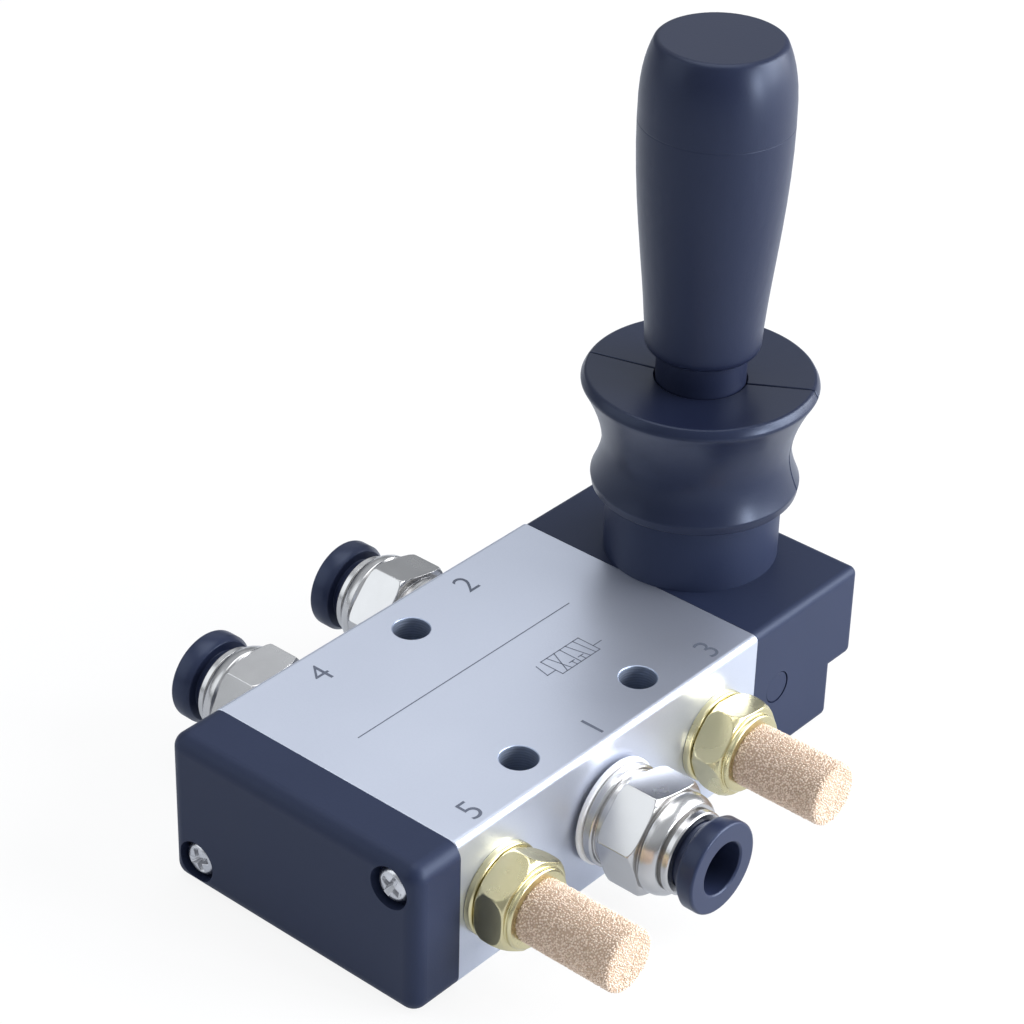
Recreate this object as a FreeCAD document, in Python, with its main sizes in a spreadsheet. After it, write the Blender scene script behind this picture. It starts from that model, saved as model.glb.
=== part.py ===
import FreeCAD, Part
import Sketcher
import math
import os
import re

# Hand lever air valve, five ports, in millimetres.
# Origin: middle of the aluminium body's underside. +X runs along the spool to the lever,
# +Y is the side of the two outlets, +Z is up, along the upright lever.

os.makedirs("parts", exist_ok=True)
doc = FreeCAD.newDocument("hand_lever_air_valve")
sheet = doc.addObject("Spreadsheet::Sheet", "Sizes")

SIZES = (
    # aluminium body and its passages
    ("body_length", 50.6),
    ("body_width", 35.0),
    ("body_height", 19.0),
    ("body_round", 0.8),
    ("spool_height", 9.5),
    ("bore_diameter", 8.5),
    ("gallery_diameter", 11.6),
    ("gallery_width", 4.4),
    ("end_wall", 7.0),
    ("port_shift", -0.4),
    ("outlet_wall", 13.2),
    ("port_diameter", 9.8),
    ("port_depth", 8.0),
    ("passage_diameter", 5.0),
    ("hole_diameter", 4.3),
    ("hole_spacing", 20.0),
    ("pair_offset", 12.5),
    ("single_offset", 12.1),
    ("end_seal_section", 1.5),
    ("end_seal_gap", 0.05),
    ("edge_break", 0.2),
    # end cap and the screws at both ends
    ("cap_length", 6.8),
    ("cap_overhang", 0.5),
    ("cap_round", 1.8),
    ("cap_pocket_depth", 5.2),
    ("screw_across", 14.2),
    ("screw_rise", 6.0),
    ("screw_diameter", 2.2),
    ("screw_bite", 4.5),
    ("close_gap", 0.02),
    ("head_diameter", 4.4),
    ("head_height", 1.3),
    ("recess_diameter", 5.0),
    ("recess_depth", 1.6),
    # lever housing
    ("housing_length", 19.5),
    ("housing_foot", 15.5),
    ("housing_step", 6.9),
    ("housing_inset", 0.15),
    ("housing_round", 1.0),
    ("neck_diameter", 20.4),
    ("neck_rise", 9.0),
    ("seat_bore", 15.0),
    ("slide_gap", 0.4),
    # lever, pivot and grip
    ("lever_setback", 9.75),
    ("pivot_drop", 1.0),
    ("pivot_ball", 8.4),
    ("ball_gap", 0.15),
    ("seat_thickness", 3.4),
    ("pin_diameter", 2.5),
    ("pin_length", 14.0),
    ("pin_gap", 0.05),
    ("rod_diameter", 6.0),
    ("rod_top", 59.0),
    ("arm_diameter", 3.4),
    ("tip_diameter", 4.4),
    ("tip_gap", 0.05),
    ("tilt_angle", 15.0),
    ("tilt_room", 0.4),
    ("cap_crown", 2.0),
    ("grip_bottom", 26.5),
    ("grip_top", 64.2),
    ("grip_low_radius", 6.6),
    ("grip_widest_rise", 54.7),
    ("grip_high_radius", 8.65),
    ("grip_top_radius", 7.1),
    ("spigot_radius", 5.2),
    ("flange_radius", 6.6),
    ("flange_rise", 17.4),
    ("flange_thickness", 1.6),
    ("insert_radius", 4.2),
    ("insert_length", 14.0),
    # two part collar under the grip
    ("lip_rise", 8.8),
    ("lip_radius", 11.9),
    ("bulge_rise", 9.9),
    ("bulge_radius", 12.1),
    ("waist_rise", 14.3),
    ("waist_radius", 10.9),
    ("rim_rise", 22.3),
    ("rim_radius", 13.7),
    ("crest_rise", 23.4),
    ("crest_radius", 13.1),
    ("dish_rise", 22.7),
    ("collar_wall", 1.7),
    ("collar_fit", 0.1),
    ("seam_gap", 0.16),
    ("seam_turn", 24.0),
    # spool
    ("spool_gap", 0.05),
    ("journal_diameter", 7.2),
    ("waist_diameter", 5.2),
    ("land_width", 2.8),
    ("inner_lap", 0.15),
    ("outer_lap", 0.55),
    ("journal_lap", 0.5),
    ("seal_section", 1.8),
    ("journal_end", 2.4),
    ("tang_lead", 0.6),
    ("tang_height", 3.0),
    ("tang_wall", 1.2),
    # detent
    ("detent_setback", 5.05),
    ("detent_ball", 3.0),
    ("detent_gap", 0.1),
    ("notch_depth", 0.5),
    ("plug_diameter", 4.0),
    ("plug_length", 4.0),
    ("spring_wire", 0.5),
    ("spring_pitch", 1.3),
    # push-in fittings
    ("thread_diameter", 9.7),
    ("thread_length", 7.0),
    ("washer_diameter", 12.8),
    ("washer_thickness", 0.6),
    ("fitting_flange", 12.2),
    ("fitting_flats", 12.0),
    ("inlet_turn", 49.0),
    ("outlet_turn", 56.5),
    ("second_turn", 11.0),
    ("inlet_stand", 0.5),
    ("outlet_stand", 0.05),
    ("second_stand", 1.6),
    ("fitting_collar", 1.3),
    ("fitting_relief", 1.0),
    ("fitting_hex", 5.0),
    ("shoulder_length", 2.3),
    ("sleeve_diameter", 9.8),
    ("sleeve_end", 11.4),
    ("tube_diameter", 6.2),
    ("ring_diameter", 11.9),
    ("ring_thickness", 2.5),
    ("ring_travel", 1.0),
    ("ring_round", 1.1),
    ("ring_back_round", 0.4),
    ("ring_wall", 0.82),
    ("ring_gap", 0.08),
    ("tube_seat", 1.8),
    ("tube_seal_section", 1.2),
    ("collet_wall", 1.1),
    ("collet_length", 2.2),
    # silencers
    ("nut_flats", 10.2),
    ("nut_turn", 28.0),
    ("second_nut_turn", 52.0),
    ("nut_foot", 0.9),
    ("nut_foot_diameter", 11.0),
    ("nut_hex", 5.0),
    ("nut_collar_diameter", 9.4),
    ("nut_collar", 0.6),
    ("element_diameter", 7.9),
    ("element_reach", 17.9),
    ("element_round", 1.0),
    ("element_wall", 1.8),
)

for row, (name, value) in enumerate(SIZES, 1):
    sheet.set(f"A{row}", name)
    sheet.set(f"B{row}", str(value))
    sheet.setAlias(f"B{row}", name)
doc.recompute()

# Places that several pieces share, as expressions of the sizes above.
BODY_END = "body_length/2"
LEVER_X = f"({BODY_END} + housing_length - lever_setback)"
PIVOT_Z = "(body_height - pivot_drop)"
BORE_Z = "spool_height"
PORT_FACE = "body_width/2"
ARM = f"({PIVOT_Z} - {BORE_Z})"
STROKE = f"({ARM}*sin(tilt_angle))"
DOME = "sqrt((neck_diameter/2)^2 + (neck_rise + pivot_drop)^2)"
DETENT_X = f"({LEVER_X} - detent_setback)"
SEAL_POCKET = "(journal_diameter/2 + end_seal_gap + end_seal_section)"
TANG_START = f"({LEVER_X} - tip_diameter/2 - tip_gap - tang_lead)"
TANG_END = f"({LEVER_X} + tip_diameter/2 + tip_gap + tang_wall)"
HOUSING_WIDTH = "(body_width - 2*housing_inset)"
PITCH = "((body_length - 2*end_wall)/4)"
OUTLET = f"({BODY_END} - outlet_wall)"
INNER_LAND = f"({PITCH} - gallery_width/2 - inner_lap)"
OUTER_LAND = f"({PITCH} + gallery_width/2 + outer_lap)"
JOURNAL_START = f"(2*{PITCH} + gallery_width/2 + journal_lap)"
HEX_START = "(washer_thickness + fitting_collar + fitting_relief)"
SLEEVE_START = f"({HEX_START} + fitting_hex + shoulder_length)"
RING_BACK = "(sleeve_end + ring_travel + 0.2)"
RING_FRONT = f"({RING_BACK} + ring_thickness)"
SWELL_ROWS = 9
CROWN_ROWS = (0, 0.3, 0.45, 0.58, 0.69, 0.79, 0.88, 0.95, 1)
FLARE_ROWS = 6
ROUND_ROWS = 4
SUBPARTS = []


def sized(text):
    """Point each size named in an expression at its cell."""
    return re.sub(r"\b([a-z]+(?:_[a-z]+)+)\b", r"Sizes.\1", text)


def bind(thing, **sizes):
    for name, text in sizes.items():
        thing.setExpression(name, sized(text))
    return thing


def put(thing, at=(), axis=None, turn=None):
    """Bind a thing's position, and its turn in degrees about an axis."""
    if axis is not None:
        thing.Placement = FreeCAD.Placement(FreeCAD.Vector(), FreeCAD.Rotation(FreeCAD.Vector(*axis), 1))
        thing.setExpression("Placement.Rotation.Angle", sized(turn))
    for letter, text in zip("xyz", at):
        if text != "0":
            thing.setExpression(f"Placement.Base.{letter}", sized(text))
    return thing


def keep(label, thing):
    """Name a finished sub-part after its file."""
    thing.Label = label
    SUBPARTS.append(thing)
    return thing


def box(name, length, width, height, at):
    made = bind(doc.addObject("Part::Box", name), Length=length, Width=width, Height=height)
    return put(made, at)


def rod(name, radius, height, at, axis=None, turn=None):
    made = bind(doc.addObject("Part::Cylinder", name), Radius=radius, Height=height)
    return put(made, at, axis, turn)


def ball(name, radius, at):
    return put(bind(doc.addObject("Part::Sphere", name), Radius=radius), at)


def fuse(name, *things):
    made = doc.addObject("Part::MultiFuse", name)
    made.Shapes = list(things)
    return made


def cut(name, base, tool):
    made = doc.addObject("Part::Cut", name)
    made.Base = base
    made.Tool = tool
    return made


def common(name, one, two):
    made = doc.addObject("Part::MultiCommon", name)
    made.Shapes = [one, two]
    return made


def group(name, *things):
    made = doc.addObject("Part::Compound", name)
    made.Links = list(things)
    return made


def outline(body, name, role, corners):
    """A closed sketch on a body's own plane, each corner held by two bound distances."""
    sketch = body.newObject("Sketcher::SketchObject", name)
    base = next(plane for plane in body.Origin.OriginFeatures if plane.Role == role)
    sketch.AttachmentSupport = [(base, "")]
    sketch.MapMode = "FlatFace"
    count = len(corners)
    spots = [FreeCAD.Vector(i + 1, (i + 1) ** 2, 0) for i in range(count)]
    for i in range(count):
        sketch.addGeometry(Part.LineSegment(spots[i], spots[(i + 1) % count]))
    for i in range(count):
        sketch.addConstraint(Sketcher.Constraint("Coincident", i, 2, (i + 1) % count, 1))
    for i, corner in enumerate(corners):
        for kind, text in zip(("DistanceX", "DistanceY"), corner):
            spot = sketch.addConstraint(Sketcher.Constraint(kind, -1, 1, i, 1, 1.0))
            sketch.setExpression(f"Constraints[{spot}]", sized(text))
    return sketch


def new_body(name):
    return doc.addObject("PartDesign::Body", name)


def revolve(body, name, corners, kind="PartDesign::Revolution"):
    """Turn an outline of (radius, height) corners about the body's Z axis."""
    sketch = outline(body, f"{name}_outline", "XZ_Plane", corners)
    made = body.newObject(kind, name)
    made.Profile = sketch
    made.ReferenceAxis = (sketch, ["V_Axis"])
    made.Angle = 360
    return made


def pad(body, name, role, corners, length):
    sketch = outline(body, f"{name}_outline", role, corners)
    made = bind(body.newObject("PartDesign::Pad", name), Length=length)
    made.Profile = sketch
    made.Midplane = True
    return made


def pocket(body, name, role, corners, length):
    sketch = outline(body, f"{name}_outline", role, corners)
    made = bind(body.newObject("PartDesign::Pocket", name), Length=length)
    made.Profile = sketch
    made.Midplane = True
    return made


def round_edges(body, name, radius, chosen):
    """Fillet the edges of the body's last feature that a test chooses."""
    doc.recompute()
    last = body.Tip
    names = [f"Edge{i}" for i, edge in enumerate(last.Shape.Edges, 1) if chosen(edge)]
    made = bind(body.newObject("PartDesign::Fillet", name), Radius=radius)
    made.Base = (last, names)
    return made


def value(name):
    return float(sheet.get(name))


def circle_at(height, radius):
    """A test for a full circle about Z at a height and radius."""
    def test(edge):
        curve = edge.Curve
        if not isinstance(curve, Part.Circle):
            return False
        return abs(curve.Center.z - height) < 1e-4 and abs(curve.Radius - radius) < 1e-4
    return test


def along(edge, axis):
    """Whether an edge is straight and runs along an axis."""
    ends = [vertex.Point for vertex in edge.Vertexes]
    if len(ends) < 2 or not isinstance(edge.Curve, Part.Line):
        return False
    run = ends[1] - ends[0]
    return abs(abs(run.dot(axis)) - run.Length) < 1e-6


def rounded(small, large, edge, crest):
    """Corners of a rounded edge, from an end face out to the widest place along the axis."""
    corners = []
    for row in range(ROUND_ROWS + 1):
        turn = math.pi / 2 * row / ROUND_ROWS
        corners.append((f"{small} + ({large} - ({small}))*{math.sin(turn):.4f}",
                        f"{edge} + ({crest} - ({edge}))*{1 - math.cos(turn):.4f}"))
    return corners


def seal(name, middle, section, at, axis=None, turn=None):
    """A rubber ring of eight sided section about the local Z axis."""
    rubber = new_body(name)
    corners = []
    for side in range(8):
        angle = math.pi / 4 * (side + 0.5)
        corners.append((f"{middle} + {section}*{math.cos(angle):.4f}", f"{section}*{math.sin(angle):.4f}"))
    revolve(rubber, f"{name}_turned", corners)
    return put(rubber, at, axis, turn)


X_AXIS = FreeCAD.Vector(1, 0, 0)
Y_AXIS = FreeCAD.Vector(0, 1, 0)
Z_AXIS = FreeCAD.Vector(0, 0, 1)


# Aluminium body: a bar with rounded long edges, bored right through for the spool, with five
# ring galleries, three tapped ports on one side, two on the other and three fixing holes.
def valve_body():
    block = new_body("valve_block")
    corners = [
        (f"-{BODY_END}", "0"),
        (BODY_END, "0"),
        (BODY_END, "body_height"),
        (f"-{BODY_END}", "body_height"),
    ]
    pad(block, "bar", "XZ_Plane", corners, "body_width")
    round_edges(block, "long_edges", "body_round", lambda edge: along(edge, X_AXIS))
    tools = [rod("spool_bore", "bore_diameter/2", "body_length + 2", (f"-{BODY_END} - 1", "0", BORE_Z),
                 (0, 1, 0), "90")]
    for spot in range(-2, 3):
        start = f"port_shift + {spot}*{PITCH} - gallery_width/2"
        tools.append(rod("gallery", "gallery_diameter/2", "gallery_width", (start, "0", BORE_Z),
                         (0, 1, 0), "90"))
    for spot in (-2, 0, 2):
        tools += port(f"port_shift + {spot}*{PITCH}", -1)
    for side in (-1, 1):
        tools += port(f"port_shift + {side}*{OUTLET}", 1)
    for x, y in (("-hole_spacing/2", "-pair_offset"), ("hole_spacing/2", "-pair_offset"),
                 ("0", "single_offset")):
        tools.append(rod("fixing_hole", "hole_diameter/2", "body_height + 2", (x, y, "-1")))
    for side, angle in ((-1, "90"), (1, "-90")):
        tools.append(rod("seal_pocket", SEAL_POCKET, "end_seal_section + 0.1",
                         (f"{side}*({BODY_END} - end_seal_section - 0.1)", "0", BORE_Z),
                         (0, 1, 0), f"{side}*90"))
        for way in (-1, 1):
            tools.append(rod("screw_hole", "screw_diameter/2 + close_gap", "screw_bite + 0.5",
                             (f"{side}*({BODY_END} - screw_bite - 0.5)", f"{way}*screw_across",
                              f"{BORE_Z} - {way}*screw_rise"), (0, 1, 0), f"{side}*90"))
    keep("valve_body", cut("valve_body", block, fuse("valve_passages", *tools)))


def port(x, side):
    """A tapped port and the passage behind it that meets the spool bore's gallery."""
    turn = f"{-side}*90"
    mouth = rod("port_hole", "port_diameter/2", "port_depth + 1",
                (x, f"{side}*({PORT_FACE} - port_depth)", BORE_Z), (1, 0, 0), turn)
    inner = rod("port_passage", "passage_diameter/2", f"{PORT_FACE} - bore_diameter/2",
                (x, f"{side}*bore_diameter/4", BORE_Z), (1, 0, 0), turn)
    return [mouth, inner]


# End cap: moulded cover a little wider than the body, with rounded outer edges, a pocket for
# the spool's end and two deep holes for its screws on one diagonal.
def end_cap():
    cap = new_body("cap_block")
    start = f"-{BODY_END} - cap_length"
    corners = [(start, "0"), (f"-{BODY_END}", "0"), (f"-{BODY_END}", "body_height"), (start, "body_height")]
    pad(cap, "cap_bar", "XZ_Plane", corners, "body_width + 2*cap_overhang")
    face = -value("body_length") / 2
    round_edges(cap, "cap_edges", "cap_round",
                lambda edge: not all(abs(v.Point.x - face) < 1e-4 for v in edge.Vertexes))
    tools = [rod("cap_pocket", "bore_diameter/2 + slide_gap", "cap_pocket_depth",
                 (f"-{BODY_END} - cap_pocket_depth", "0", BORE_Z), (0, 1, 0), "90")]
    for way in (-1, 1):
        y = f"{way}*screw_across"
        z = f"{BORE_Z} - {way}*screw_rise"
        tools.append(rod("cap_screw_hole", "screw_diameter/2 + close_gap", "cap_length + 1", (start, y, z),
                         (0, 1, 0), "90"))
        tools.append(rod("cap_head_hole", "recess_diameter/2", "recess_depth + 1", (f"{start} - 1", y, z),
                         (0, 1, 0), "90"))
    keep("end_cap", cut("end_cap", cap, fuse("cap_holes", *tools)))


# Pan head screws with a cross recess. Each pair is one node of separate solids.
def pan_screw(name, head_x, side, y, z, length):
    screw = new_body(name)
    corners = [
        ("0", f"-({length})"),
        ("screw_diameter/2", f"-({length})"),
        ("screw_diameter/2", "0"),
        ("head_diameter/2", "0"),
        ("head_diameter/2", "head_height*0.55"),
        ("head_diameter*0.3", "head_height"),
        ("0", "head_height"),
    ]
    revolve(screw, f"{name}_turned", corners)
    for role in ("XZ_Plane", "YZ_Plane"):
        slot = [
            ("-head_diameter*0.28", "head_height*1.2"),
            ("head_diameter*0.28", "head_height*1.2"),
            ("head_diameter*0.1", "head_height*0.25"),
            ("-head_diameter*0.1", "head_height*0.25"),
        ]
        pocket(screw, f"{name}_{role[:2]}_slot", role, slot, "head_diameter*0.14")
    return put(screw, (head_x, y, z), (0, 1, 0), f"{side}*90")


def screws():
    cap_seat = f"-{BODY_END} - cap_length + recess_depth"
    pair = []
    for way in (-1, 1):
        level = "low" if way > 0 else "high"
        pair.append(pan_screw(f"cap_screw_{level}", cap_seat, -1, f"{way}*screw_across",
                              f"{BORE_Z} - {way}*screw_rise", "cap_length - recess_depth + screw_bite"))
    keep("end_cap_screws", group("end_cap_screws", *pair))
    pair = []
    for way, reach in ((-1, "housing_length"), (1, "housing_foot")):
        seat = f"{BODY_END} + {reach} - recess_depth"
        level = "low" if way > 0 else "high"
        pair.append(pan_screw(f"housing_screw_{level}", seat, 1, f"{way}*screw_across",
                              f"{BORE_Z} - {way}*screw_rise", f"{reach} - recess_depth + screw_bite"))
    keep("housing_screws", group("housing_screws", *pair))


# Lever housing: a moulded block, stepped back underneath at its free end, with a round neck
# on top. Inside are the chamber where the lever moves the spool and the bore of the pivot.
def lever_housing():
    shell = new_body("housing_block")
    corners = [
        (BODY_END, "0"),
        (f"{BODY_END} + housing_foot", "0"),
        (f"{BODY_END} + housing_foot", "housing_step"),
        (f"{BODY_END} + housing_length", "housing_step"),
        (f"{BODY_END} + housing_length", "body_height"),
        (BODY_END, "body_height"),
    ]
    pad(shell, "housing_bar", "XZ_Plane", corners, HOUSING_WIDTH)
    face = value("body_length") / 2
    inner = value("body_length") / 2 + value("housing_foot")
    step = value("housing_step")

    def outer(edge):
        spots = [vertex.Point for vertex in edge.Vertexes]
        at_face = all(abs(spot.x - face) < 1e-4 for spot in spots)
        at_step = all(abs(spot.x - inner) < 1e-4 and abs(spot.z - step) < 1e-4 for spot in spots)
        return not at_face and not at_step

    round_edges(shell, "housing_edges", "housing_round", outer)
    neck = rod("neck", "neck_diameter/2", "neck_rise", (LEVER_X, "0", "body_height"))
    solid = fuse("housing_solid", shell, neck)
    way_end = f"{TANG_START} + {STROKE} + slide_gap"
    tools = [
        rod("journal_way", "journal_diameter/2 + slide_gap", f"{way_end} - {BODY_END}",
            (BODY_END, "0", BORE_Z), (0, 1, 0), "90"),
        box("tang_way", f"{TANG_END} + {STROKE} + slide_gap - {DETENT_X}", "journal_diameter + 2*slide_gap",
            "tang_height + 2*slide_gap*0.75",
            (DETENT_X, "-journal_diameter/2 - slide_gap", f"{BORE_Z} - tang_height/2 - slide_gap*0.75")),
        box("lever_chamber", f"2*({STROKE} + tip_diameter/2 + slide_gap)", "tip_diameter + 2*slide_gap",
            f"{PIVOT_Z} - seat_thickness - {BORE_Z} + tip_diameter/2 + 2*slide_gap",
            (f"{LEVER_X} - {STROKE} - tip_diameter/2 - slide_gap", "-tip_diameter/2 - slide_gap",
             f"{BORE_Z} - tip_diameter/2 - slide_gap")),
        rod("pivot_bore", "seat_bore/2", "neck_rise + pivot_drop + seat_thickness + 1",
            (LEVER_X, "0", f"{PIVOT_Z} - seat_thickness")),
        rod("plug_hole", "plug_diameter/2", "plug_length + 1", (DETENT_X, f"-{HOUSING_WIDTH}/2 - 1", BORE_Z),
            (1, 0, 0), "-90"),
        rod("detent_hole", "detent_ball/2 + detent_gap", f"{HOUSING_WIDTH}/2 - plug_length + 0.5",
            (DETENT_X, f"-{HOUSING_WIDTH}/2 + plug_length - 0.5", BORE_Z), (1, 0, 0), "-90"),
    ]
    for way, reach in ((-1, "housing_length"), (1, "housing_foot")):
        y = f"{way}*screw_across"
        z = f"{BORE_Z} - {way}*screw_rise"
        tools.append(rod("housing_screw_hole", "screw_diameter/2 + close_gap", reach, (BODY_END, y, z),
                         (0, 1, 0), "90"))
        tools.append(rod("housing_head_hole", "recess_diameter/2", "recess_depth + 1",
                         (f"{BODY_END} + {reach} - recess_depth", y, z), (0, 1, 0), "90"))
    keep("lever_housing", cut("lever_housing", solid, fuse("housing_cavity", *tools)))


# Pivot of the lever: a seat ring below the ball, a domed cap above it and the cross pin that
# lies in grooves between them and lets the lever rock one way only.
def pivot():
    seat_ball = "(pivot_ball/2 + ball_gap)"
    swing = "(arm_diameter/2 + seat_thickness*tan(tilt_angle) + tilt_room)"
    ring_body = rod("seat_blank", "seat_bore/2 - close_gap", "seat_thickness",
                    (LEVER_X, "0", f"{PIVOT_Z} - seat_thickness"))
    tools = [
        ball("seat_hollow", seat_ball, (LEVER_X, "0", PIVOT_Z)),
        rod("seat_hole", swing, "seat_thickness", (LEVER_X, "0", f"{PIVOT_Z} - seat_thickness")),
        rod("seat_groove", "pin_diameter/2 + close_gap", "pin_length", (LEVER_X, "pin_length/2", PIVOT_Z),
            (1, 0, 0), "90"),
    ]
    keep("pivot_seat", cut("pivot_seat", ring_body, fuse("seat_tools", *tools)))

    cap = new_body("cap_turned")
    crown = f"sqrt(({DOME})^2 - (neck_rise + pivot_drop + cap_crown)^2)"
    corners = [
        ("0", "0"),
        ("seat_bore/2 - close_gap", "0"),
        ("seat_bore/2 - close_gap", "neck_rise + pivot_drop"),
        (f"{DOME}", "neck_rise + pivot_drop"),
        (f"{DOME}", "neck_rise + pivot_drop + cap_crown"),
        ("0", "neck_rise + pivot_drop + cap_crown"),
    ]
    revolve(cap, "cap_blank", corners)
    reach = "neck_rise + pivot_drop + cap_crown + 1"
    slot = [
        ("-rod_diameter/2 - tilt_room", "0"),
        ("rod_diameter/2 + tilt_room", "0"),
        (f"rod_diameter/2 + tilt_room + ({reach})*tan(tilt_angle)", reach),
        (f"-rod_diameter/2 - tilt_room - ({reach})*tan(tilt_angle)", reach),
    ]
    pocket(cap, "lever_slot", "XZ_Plane", slot, "rod_diameter + 2*tilt_room")
    put(cap, (LEVER_X, "0", PIVOT_Z))
    dome = ball("dome", f"{DOME}", (LEVER_X, "0", PIVOT_Z))
    tools = [
        ball("cap_hollow", seat_ball, (LEVER_X, "0", PIVOT_Z)),
        rod("cap_groove", "pin_diameter/2 + close_gap", "pin_length", (LEVER_X, "pin_length/2", PIVOT_Z),
            (1, 0, 0), "90"),
    ]
    keep("pivot_cap", cut("pivot_cap", common("cap_domed", cap, dome), fuse("cap_tools", *tools)))
    keep("pivot_pin", rod("pivot_pin", "pin_diameter/2", "pin_length", (LEVER_X, "pin_length/2", PIVOT_Z),
                          (1, 0, 0), "90"))


# Lever rod: one turned steel piece, with the pivot ball and the small ball that moves the spool.
def lever_rod():
    parts = [
        ball("rod_ball", "pivot_ball/2", (LEVER_X, "0", PIVOT_Z)),
        ball("rod_tip", "tip_diameter/2", (LEVER_X, "0", BORE_Z)),
        rod("rod_arm", "arm_diameter/2", ARM, (LEVER_X, "0", BORE_Z)),
        rod("rod_stem", "rod_diameter/2", f"rod_top - {PIVOT_Z}", (LEVER_X, "0", PIVOT_Z)),
    ]
    hole = rod("rod_pin_hole", "pin_diameter/2 + pin_gap", "pin_length", (LEVER_X, "pin_length/2", PIVOT_Z),
               (1, 0, 0), "90")
    keep("lever_rod", cut("lever_rod", fuse("rod_solid", *parts), hole))


# Grip: moulded handle that swells towards its rounded top, with a flanged spigot below that
# the collar halves close round, and a brass insert that takes the rod's thread.
def grip():
    handle = new_body("grip_body")
    corners = [
        ("insert_radius + close_gap", "flange_rise"),
        ("flange_radius", "flange_rise"),
        ("flange_radius", "flange_rise + flange_thickness"),
        ("spigot_radius", "flange_rise + flange_thickness"),
        ("spigot_radius", "grip_bottom"),
    ]
    for i in range(SWELL_ROWS):
        share = i / SWELL_ROWS
        bulge = math.sin(math.pi / 2 * share) ** 1.5
        corners.append((f"grip_low_radius + (grip_high_radius - grip_low_radius)*{bulge:.5f}",
                        f"grip_bottom + (grip_widest_rise - grip_bottom)*{share:.5f}"))
    for share in CROWN_ROWS:
        corners.append((f"grip_top_radius + (grip_high_radius - grip_top_radius)*{1 - share ** 3:.5f}",
                        f"grip_widest_rise + (grip_top - grip_widest_rise)*{share:.5f}"))
    corners += [
        ("0", "grip_top"),
        ("0", "rod_top - body_height + 0.5"),
        ("rod_diameter/2 + close_gap", "rod_top - body_height + 0.5"),
        ("rod_diameter/2 + close_gap", "flange_rise + insert_length"),
        ("insert_radius + close_gap", "flange_rise + insert_length"),
    ]
    revolve(handle, "grip_turned", corners)
    foot = circle_at(value("grip_bottom"), value("grip_low_radius"))
    round_edges(handle, "grip_foot", "grip_low_radius*0.2", foot)
    top = circle_at(value("grip_top"), value("grip_top_radius"))
    round_edges(handle, "grip_crown", "grip_top_radius*0.12", top)
    put(handle, (LEVER_X, "0", "body_height"))
    keep("grip", handle)
    insert = new_body("insert_body")
    corners = [
        ("rod_diameter/2 + close_gap", "flange_rise"),
        ("insert_radius", "flange_rise"),
        ("insert_radius", "flange_rise + insert_length"),
        ("rod_diameter/2 + close_gap", "flange_rise + insert_length"),
    ]
    revolve(insert, "insert_turned", corners)
    put(insert, (LEVER_X, "0", "body_height"))
    keep("grip_insert", insert)


# Collar: two moulded halves closed round the grip's spigot. The flared rim and the waist are
# outside, the flange's groove and the hollow that clears the domed cap are inside.
def collar_half(label, side):
    half = new_body(f"{label}_body")
    lip = f"(sqrt(({DOME} + slide_gap)^2 - (lip_rise + pivot_drop)^2) + collar_fit)"
    shelf = "flange_rise - collar_fit"
    roof = "flange_rise + flange_thickness + collar_fit"
    bore = "spigot_radius + collar_fit"
    corners = [(lip, "lip_rise"), ("lip_radius", "lip_rise")]
    for row in range(FLARE_ROWS):
        share = row / FLARE_ROWS
        corners.append((f"waist_radius + (bulge_radius - waist_radius)*{(1 - share) ** 1.7:.5f}",
                        f"bulge_rise + (waist_rise - bulge_rise)*{share:.5f}"))
    for row in range(FLARE_ROWS + 1):
        share = row / FLARE_ROWS
        corners.append((f"waist_radius + (rim_radius - waist_radius)*{share ** 1.7:.5f}",
                        f"waist_rise + (rim_rise - waist_rise)*{share:.5f}"))
    corners += [
        ("crest_radius", "crest_rise"),
        (bore, "dish_rise"),
        (bore, roof),
        ("flange_radius + collar_fit", roof),
        ("flange_radius + collar_fit", shelf),
        ("rod_diameter/2 + collar_fit", shelf),
        ("rod_diameter/2 + collar_fit", f"{shelf} - collar_wall"),
        ("waist_radius - collar_wall", f"{shelf} - collar_wall"),
        ("waist_radius - collar_wall", "waist_rise - 1"),
    ]
    revolve(half, f"{label}_turned", corners)
    rim = circle_at(value("rim_rise"), value("rim_radius"))
    round_edges(half, f"{label}_rim", "collar_wall*0.35", rim)
    crest = circle_at(value("crest_rise"), value("crest_radius"))
    round_edges(half, f"{label}_crest", "collar_wall*0.3", crest)
    limit = "(rim_radius + 1)"
    edge = f"{side}*seam_gap/2"
    removed = [
        (edge, f"-{limit}"),
        (f"-{side}*{limit}", f"-{limit}"),
        (f"-{side}*{limit}", limit),
        (edge, limit),
    ]
    sketch = outline(half, f"{label}_side", "XY_Plane", removed)
    made = bind(half.newObject("PartDesign::Pocket", f"{label}_split"), Length="2*crest_rise + 2")
    made.Profile = sketch
    made.Midplane = True
    put(half, (LEVER_X, "0", "body_height"), (0, 0, 1), "seam_turn")
    keep(label, half)


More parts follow.
